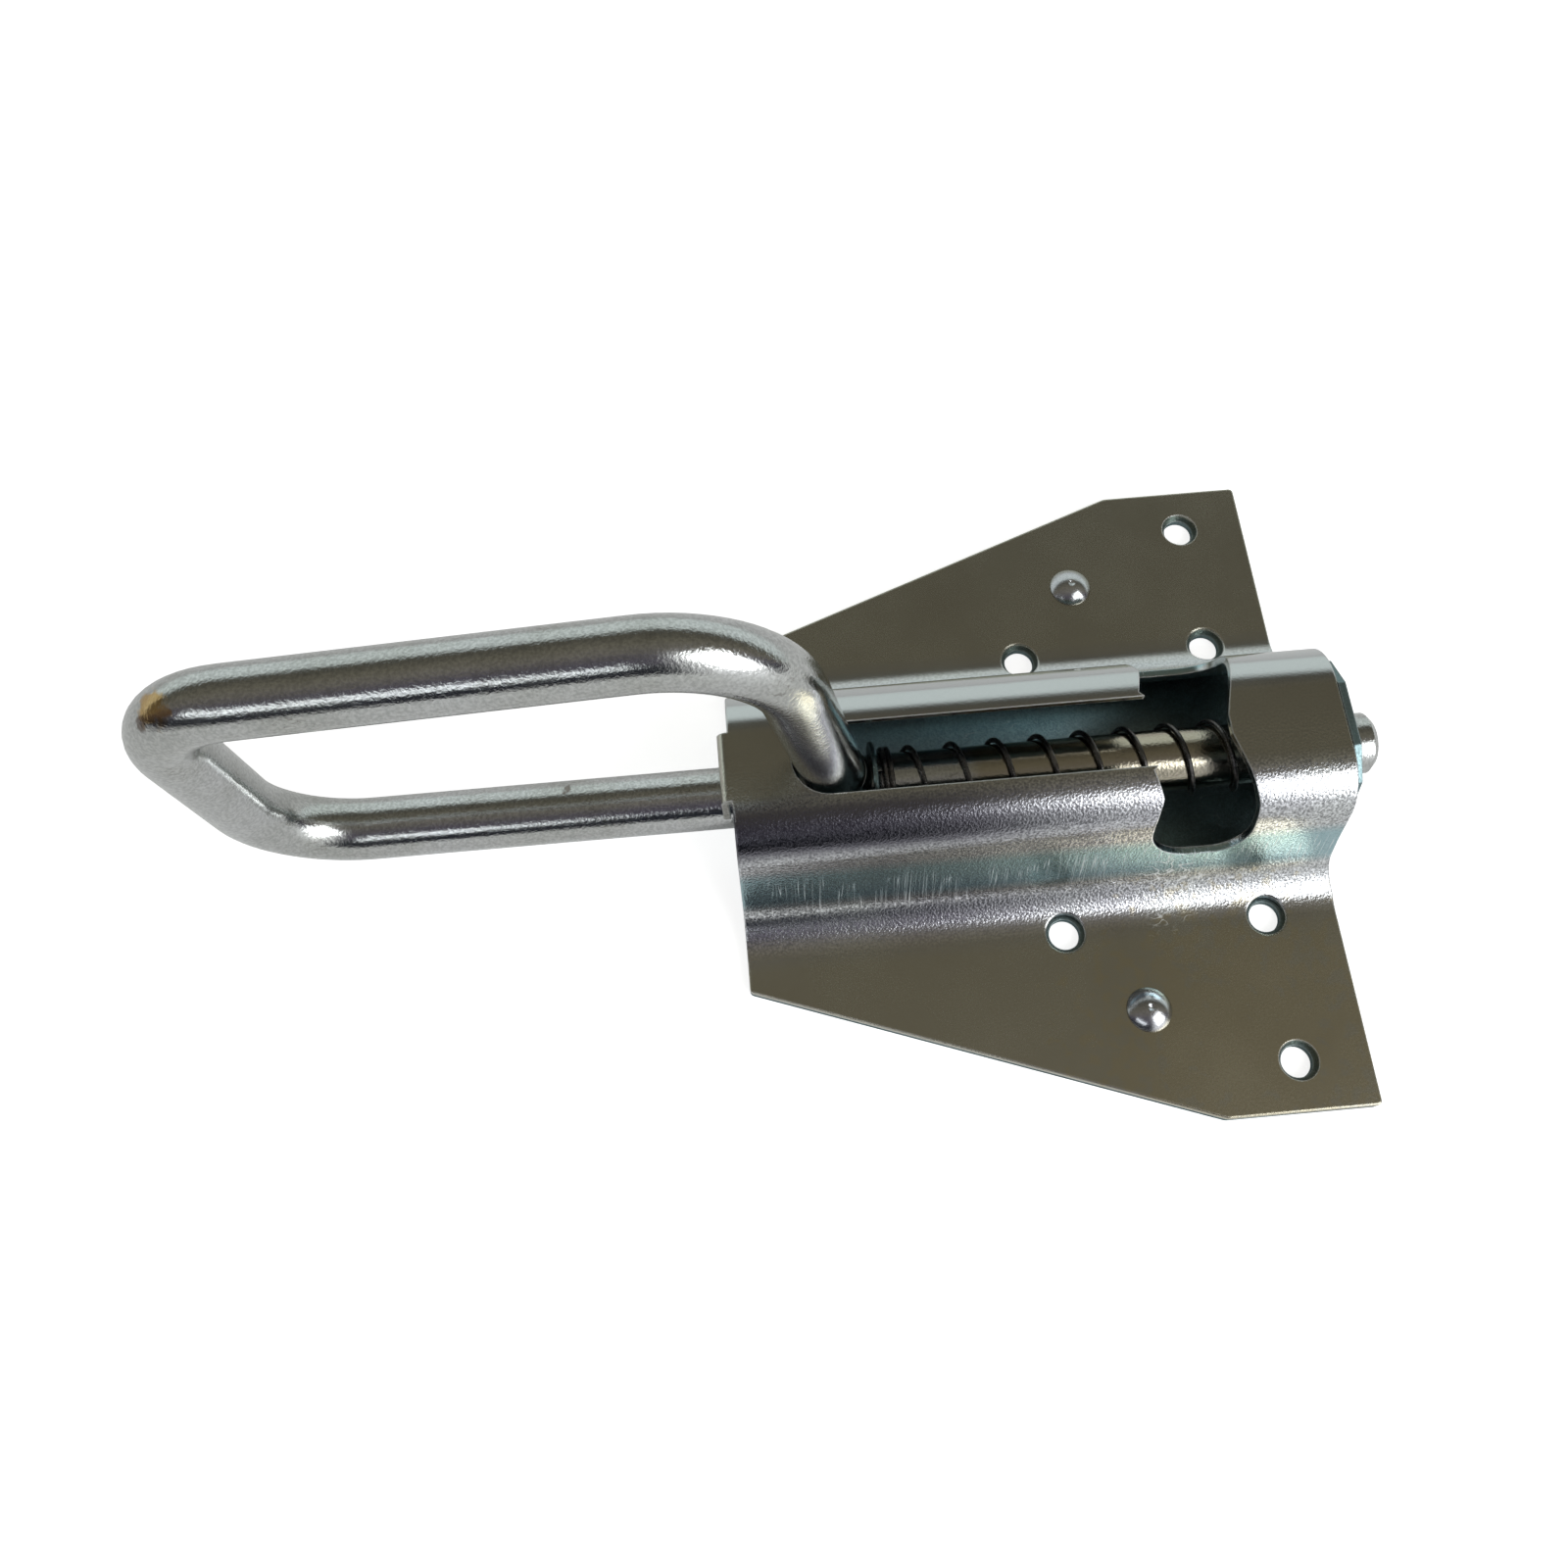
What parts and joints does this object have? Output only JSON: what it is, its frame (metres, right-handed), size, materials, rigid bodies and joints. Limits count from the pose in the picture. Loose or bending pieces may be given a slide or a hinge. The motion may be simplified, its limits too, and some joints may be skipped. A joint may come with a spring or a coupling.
{
  "type": "sliding bolt latch",
  "caption": "Spring-returned sliding bolt with a loop handle that slides in the slot of a raised channel on a tapered two-sheet plate.",
  "frame": {"origin": "centre of the four inner fixing holes, on the mounting face at the back", "axes": "+X the way the bolt shoots, +Y across the plate, +Z out of the mounting face through the channel and the handle"},
  "size_m": [0.2326, 0.143, 0.0891],
  "materials": {
    "front_plate": "bright zinc plating",
    "back_plate": "bright zinc plating",
    "bolt_bar": "bright zinc plating, smooth",
    "spring_washer": "zinc plating",
    "spring": "dark spring wire",
    "rivet": "bright zinc plating"
  },
  "bodies": {
    "housing": {"front_plate": "front_plate", "back_plate": "back_plate", "rivet_near": "rivet", "rivet_far": "rivet", "spring": "spring"},
    "washer": {"spring_washer": "spring_washer"},
    "bolt": {"bolt_bar": "bolt_bar"}
  },
  "joints": [
    {"name": "bolt_slide", "type": "slide", "parent": "housing", "child": "washer", "axis": [1, 0, 0], "range_m": [0, 0.072], "stiffness_N_per_m": 300, "springref_m": -0.04, "deforming": ["spring"]},
    {"name": "bolt_turn", "type": "hinge", "parent": "washer", "child": "bolt", "pos_m": [0, 0, 0.0155], "axis": [1, 0, 0], "range_deg": [-1.5, 1.5]}
  ]
}
